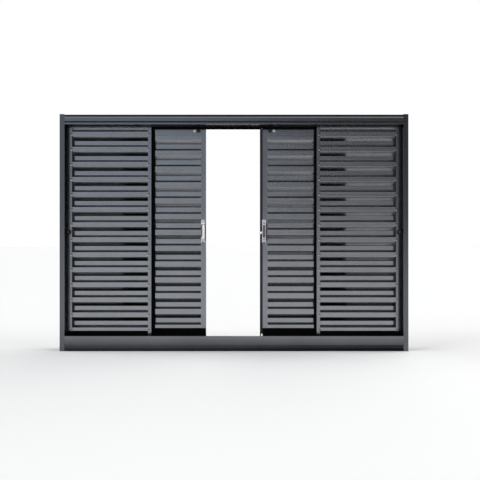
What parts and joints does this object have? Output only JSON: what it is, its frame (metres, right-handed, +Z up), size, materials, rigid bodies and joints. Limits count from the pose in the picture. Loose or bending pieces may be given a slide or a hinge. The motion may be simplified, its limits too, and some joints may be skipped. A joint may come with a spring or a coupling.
{
  "type": "louvred shutter window",
  "caption": "Sliding louvred shutter window: an aluminium frame with fixed louvred leaves at the sides and sliding louvred leaves that part in the middle.",
  "frame": {"origin": "middle of the window's foot, on the plane that the jambs stand on, halfway through the frame's depth", "axes": "+X across the window to the right as seen from the room, +Y through the window from the room side to the outside, +Z up"},
  "size_m": [1.5, 0.12, 1.02],
  "materials": {
    "frame": "black anodised, satin",
    "leaf": "black anodised, satin",
    "blade": "black anodised sheet, satin",
    "black_plastic": "moulded, matt",
    "roller": "turned acetal",
    "latch": "satin plated"
  },
  "bodies": {
    "root": {"frame_head": "frame", "frame_sill": "frame", "frame_jamb_left": "frame", "frame_jamb_right": "frame", "left_fixed_inner_stile": "leaf", "left_fixed_outer_stile": "leaf", "left_fixed_top_rail": "leaf", "left_fixed_bottom_rail": "leaf", "left_fixed_blades": "blade", "left_fixed_retainer": "black_plastic", "left_sliding_inner_stile": "leaf", "left_sliding_outer_stile": "leaf", "left_sliding_top_rail": "leaf", "left_sliding_bottom_rail": "leaf", "left_sliding_blades": "blade", "left_sliding_rollers": "roller", "left_sliding_guides": "black_plastic", "left_sliding_latch_case": "latch", "left_sliding_latch_thumb": "latch", "right_sliding_inner_stile": "leaf", "right_sliding_outer_stile": "leaf", "right_sliding_top_rail": "leaf", "right_sliding_bottom_rail": "leaf", "right_sliding_blades": "blade", "right_sliding_rollers": "roller", "right_sliding_guides": "black_plastic", "right_sliding_latch_case": "latch", "right_sliding_latch_thumb": "black_plastic", "right_sliding_latch_tongue": "latch", "right_sliding_edge_strip": "black_plastic", "right_fixed_inner_stile": "leaf", "right_fixed_outer_stile": "leaf", "right_fixed_top_rail": "leaf", "right_fixed_bottom_rail": "leaf", "right_fixed_blades": "blade", "right_fixed_retainer": "black_plastic"}
  },
  "joints": []
}
